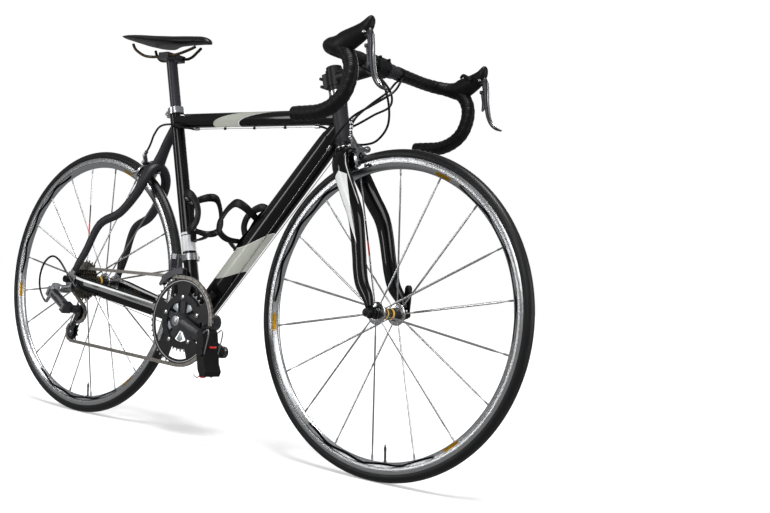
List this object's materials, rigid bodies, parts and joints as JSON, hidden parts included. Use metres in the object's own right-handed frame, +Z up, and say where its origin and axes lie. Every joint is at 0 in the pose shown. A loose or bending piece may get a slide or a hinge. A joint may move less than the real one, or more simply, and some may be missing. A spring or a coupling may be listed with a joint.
{
  "type": "road bicycle",
  "caption": "Road racing bicycle with drop handlebar, tapered fork, side-pull brakes, derailleur gears, spoked wheels and narrow saddle.",
  "frame": {"origin": "on the ground, on the centre plane, half-way between the two axles", "axes": "+X forwards, +Y to the rider's left, +Z up"},
  "size_m": [1.6179, 0.4402, 0.9576],
  "materials": {
    "gloss_black": "gloss black paint",
    "satin_black": "satin black anodised",
    "carbon_black": "gloss black composite",
    "silver": "polished",
    "silver_satin": "satin",
    "steel": "brushed",
    "chain_steel": "oiled",
    "bronze_steel": "bead blasted",
    "tyre": "black rubber",
    "tape": "ribbed black tape",
    "hood_rubber": "black rubber",
    "cable_black": "black housing",
    "cage_black": "black composite",
    "leather": "smooth black leather"
  },
  "bodies": {
    "frame": {"top_tube": "gloss_black", "down_tube": "gloss_black", "seat_tube": "gloss_black", "head_tube": "gloss_black", "bottom_bracket_shell": "gloss_black", "chain_stays": "carbon_black", "seat_stays": "carbon_black", "bearing_cups": "satin_black", "front_derailleur": "silver_satin", "frame_fittings": "silver_satin", "bottle_cages": "cage_black", "chain": "chain_steel", "rear_cables": "cable_black", "rear_axle": "steel", "rd_upper_knuckle": "silver_satin"},
    "fork_and_bars": {"fork": "carbon_black", "stem": "satin_black", "handlebar": "satin_black", "bar_tape": "tape", "lever_hoods": "hood_rubber", "front_axle": "steel", "bar_cables": "cable_black", "front_brake_mount": "silver_satin"},
    "front_wheel": {"front_tyre": "tyre", "front_rim": "silver", "front_spokes": "steel", "front_hub": "satin_black"},
    "rear_wheel": {"rear_tyre": "tyre", "rear_rim": "silver", "rear_spokes": "steel", "rear_hub": "satin_black"},
    "cassette": {"cassette": "bronze_steel"},
    "crank": {"crank_right": "satin_black", "chainring_outer": "satin_black", "chainring_inner": "silver", "crank_left": "satin_black"},
    "seat": {"seatpost": "carbon_black", "saddle": "leather", "saddle_rails": "steel"},
    "pedal_right": {"pedal_right": "satin_black"},
    "pedal_left": {"pedal_left": "satin_black"},
    "rd_outer_link": {"rd_outer_link": "silver"},
    "rd_inner_link": {"rd_inner_link": "silver_satin"},
    "rd_lower_knuckle": {"rd_lower_knuckle": "satin_black"},
    "rd_cage": {"rd_cage": "satin_black"},
    "rd_guide_pulley": {"rd_guide_pulley": "cable_black"},
    "rd_tension_pulley": {"rd_tension_pulley": "cable_black"},
    "fd_cage": {"fd_cage": "steel"},
    "brake_lever_right": {"brake_lever_right": "silver_satin"},
    "brake_lever_left": {"brake_lever_left": "silver_satin"},
    "shift_paddle_right": {"shift_paddle_right": "satin_black"},
    "shift_paddle_left": {"shift_paddle_left": "satin_black"},
    "thumb_lever_right": {"thumb_lever_right": "satin_black"},
    "thumb_lever_left": {"thumb_lever_left": "satin_black"},
    "front_brake_arm_right": {"front_brake_arm_right": "silver"},
    "front_brake_arm_left": {"front_brake_arm_left": "silver"},
    "rear_brake_arm_right": {"rear_brake_arm_right": "silver"},
    "rear_brake_arm_left": {"rear_brake_arm_left": "silver"},
    "front_qr_lever": {"front_qr_lever": "satin_black"},
    "rear_qr_lever": {"rear_qr_lever": "satin_black"}
  },
  "joints": [
    {"name": "steering", "type": "hinge", "parent": "frame", "child": "fork_and_bars", "pos_m": [0.32311, 0, 0.67073], "axis": [-0.284, 0, 0.9588], "range_deg": [-45, 45], "stiffness_Nm_per_rad": 1, "deforming": ["bar_cables"]},
    {"name": "front_wheel_spin", "type": "hinge", "parent": "fork_and_bars", "child": "front_wheel", "pos_m": [0.475, 0, 0.334], "axis": [0, 1, 0], "continuous": true},
    {"name": "rear_wheel_spin", "type": "hinge", "parent": "frame", "child": "rear_wheel", "pos_m": [-0.475, 0, 0.334], "axis": [0, 1, 0], "continuous": true},
    {"name": "crank_spin", "type": "hinge", "parent": "frame", "child": "crank", "pos_m": [-0.075, 0, 0.266], "axis": [0, 1, 0], "continuous": true},
    {"name": "cassette_spin", "type": "hinge", "parent": "frame", "child": "cassette", "pos_m": [-0.475, 0, 0.334], "axis": [0, 1, 0], "continuous": true},
    {"name": "pedal_right_spin", "type": "hinge", "parent": "crank", "child": "pedal_right", "pos_m": [0.08906, -0.105, 0.21269], "axis": [0, 1, 0], "continuous": true},
    {"name": "pedal_left_spin", "type": "hinge", "parent": "crank", "child": "pedal_left", "pos_m": [-0.23906, 0.105, 0.31931], "axis": [0, 1, 0], "continuous": true},
    {"name": "rd_shift", "type": "hinge", "parent": "frame", "child": "rd_outer_link", "pos_m": [-0.52, -0.087, 0.295], "axis": [0.4787, 0, 0.878], "range_deg": [-12, 22], "stiffness_Nm_per_rad": 0.5, "deforming": ["chain"]},
    {"name": "rd_inner_swing", "type": "hinge", "parent": "frame", "child": "rd_inner_link", "pos_m": [-0.52, -0.073, 0.295], "axis": [0.4787, 0, 0.878], "range_deg": [-12, 22]},
    {"name": "rd_knuckle_swing", "type": "hinge", "parent": "rd_outer_link", "child": "rd_lower_knuckle", "pos_m": [-0.46557, -0.087, 0.26532], "axis": [0.4787, 0, 0.878], "range_deg": [-22, 12]},
    {"name": "rd_cage_swing", "type": "hinge", "parent": "rd_lower_knuckle", "child": "rd_cage", "pos_m": [-0.45256, -0.06, 0.26032], "axis": [0, 1, 0], "range_deg": [-15, 35], "stiffness_Nm_per_rad": 0.5, "deforming": ["chain"]},
    {"name": "rd_guide_spin", "type": "hinge", "parent": "rd_cage", "child": "rd_guide_pulley", "pos_m": [-0.45, -0.0465, 0.252], "axis": [0, 1, 0], "continuous": true},
    {"name": "rd_tension_spin", "type": "hinge", "parent": "rd_cage", "child": "rd_tension_pulley", "pos_m": [-0.471, -0.0465, 0.202], "axis": [0, 1, 0], "continuous": true},
    {"name": "fd_swing", "type": "hinge", "parent": "frame", "child": "fd_cage", "pos_m": [-0.11743, -0.0429, 0.413], "axis": [1, 0, 0], "range_deg": [0, 8.5], "deforming": ["chain"]},
    {"name": "brake_lever_right_squeeze", "type": "hinge", "parent": "fork_and_bars", "child": "brake_lever_right", "pos_m": [0.51988, -0.202, 0.84926], "axis": [0, 1, 0], "range_deg": [0, 12], "stiffness_Nm_per_rad": 2},
    {"name": "shift_paddle_right_swing", "type": "hinge", "parent": "brake_lever_right", "child": "shift_paddle_right", "pos_m": [0.51988, -0.202, 0.82526], "axis": [1, 0, 0], "range_deg": [0, 18], "stiffness_Nm_per_rad": 0.2},
    {"name": "thumb_lever_right_press", "type": "hinge", "parent": "fork_and_bars", "child": "thumb_lever_right", "pos_m": [0.50388, -0.1854, 0.84926], "axis": [0, 1, 0], "range_deg": [-18, 0], "stiffness_Nm_per_rad": 0.1},
    {"name": "brake_lever_left_squeeze", "type": "hinge", "parent": "fork_and_bars", "child": "brake_lever_left", "pos_m": [0.51988, 0.202, 0.84926], "axis": [0, 1, 0], "range_deg": [0, 12], "stiffness_Nm_per_rad": 2},
    {"name": "shift_paddle_left_swing", "type": "hinge", "parent": "brake_lever_left", "child": "shift_paddle_left", "pos_m": [0.51988, 0.202, 0.82526], "axis": [1, 0, 0], "range_deg": [-18, 0], "stiffness_Nm_per_rad": 0.2},
    {"name": "thumb_lever_left_press", "type": "hinge", "parent": "fork_and_bars", "child": "thumb_lever_left", "pos_m": [0.50388, 0.1854, 0.84926], "axis": [0, 1, 0], "range_deg": [-18, 0], "stiffness_Nm_per_rad": 0.1},
    {"name": "front_brake_right_close", "type": "hinge", "parent": "fork_and_bars", "child": "front_brake_arm_right", "pos_m": [0.35171, 0.019, 0.66572], "axis": [0.9588, 0, 0.284], "range_deg": [0, 1.6]},
    {"name": "rear_brake_right_close", "type": "hinge", "parent": "frame", "child": "rear_brake_arm_right", "pos_m": [-0.27807, 0.019, 0.62817], "axis": [0.831, 0, -0.5563], "range_deg": [0, 1.6]},
    {"name": "front_brake_left_close", "type": "hinge", "parent": "fork_and_bars", "child": "front_brake_arm_left", "pos_m": [0.35171, 0, 0.66572], "axis": [0.9588, 0, 0.284], "range_deg": [-1.6, 0]},
    {"name": "rear_brake_left_close", "type": "hinge", "parent": "frame", "child": "rear_brake_arm_left", "pos_m": [-0.27807, 0, 0.62817], "axis": [0.831, 0, -0.5563], "range_deg": [-1.6, 0]},
    {"name": "front_qr_open", "type": "hinge", "parent": "fork_and_bars", "child": "front_qr_lever", "pos_m": [0.475, 0.067, 0.334], "axis": [1, 0, 0], "range_deg": [-180, 0]},
    {"name": "rear_qr_open", "type": "hinge", "parent": "frame", "child": "rear_qr_lever", "pos_m": [-0.475, 0.082, 0.334], "axis": [1, 0, 0], "range_deg": [-180, 0]},
    {"name": "seat_height", "type": "slide", "parent": "frame", "child": "seat", "axis": [-0.2773, 0, 0.9608], "range_m": [-0.05, 0.04]}
  ],
  "couplings": [
    {"joint": "cassette_spin", "follows": "crank_spin", "ratio": 3.3333},
    {"joint": "rd_guide_spin", "follows": "crank_spin", "ratio": -4.5455},
    {"joint": "rd_tension_spin", "follows": "crank_spin", "ratio": 4.5455},
    {"joint": "rd_inner_swing", "follows": "rd_shift", "ratio": 1},
    {"joint": "rd_knuckle_swing", "follows": "rd_shift", "ratio": -1},
    {"joint": "front_brake_right_close", "follows": "brake_lever_left_squeeze", "ratio": 0.13},
    {"joint": "front_brake_left_close", "follows": "brake_lever_left_squeeze", "ratio": -0.13},
    {"joint": "rear_brake_right_close", "follows": "brake_lever_right_squeeze", "ratio": 0.13},
    {"joint": "rear_brake_left_close", "follows": "brake_lever_right_squeeze", "ratio": -0.13}
  ]
}
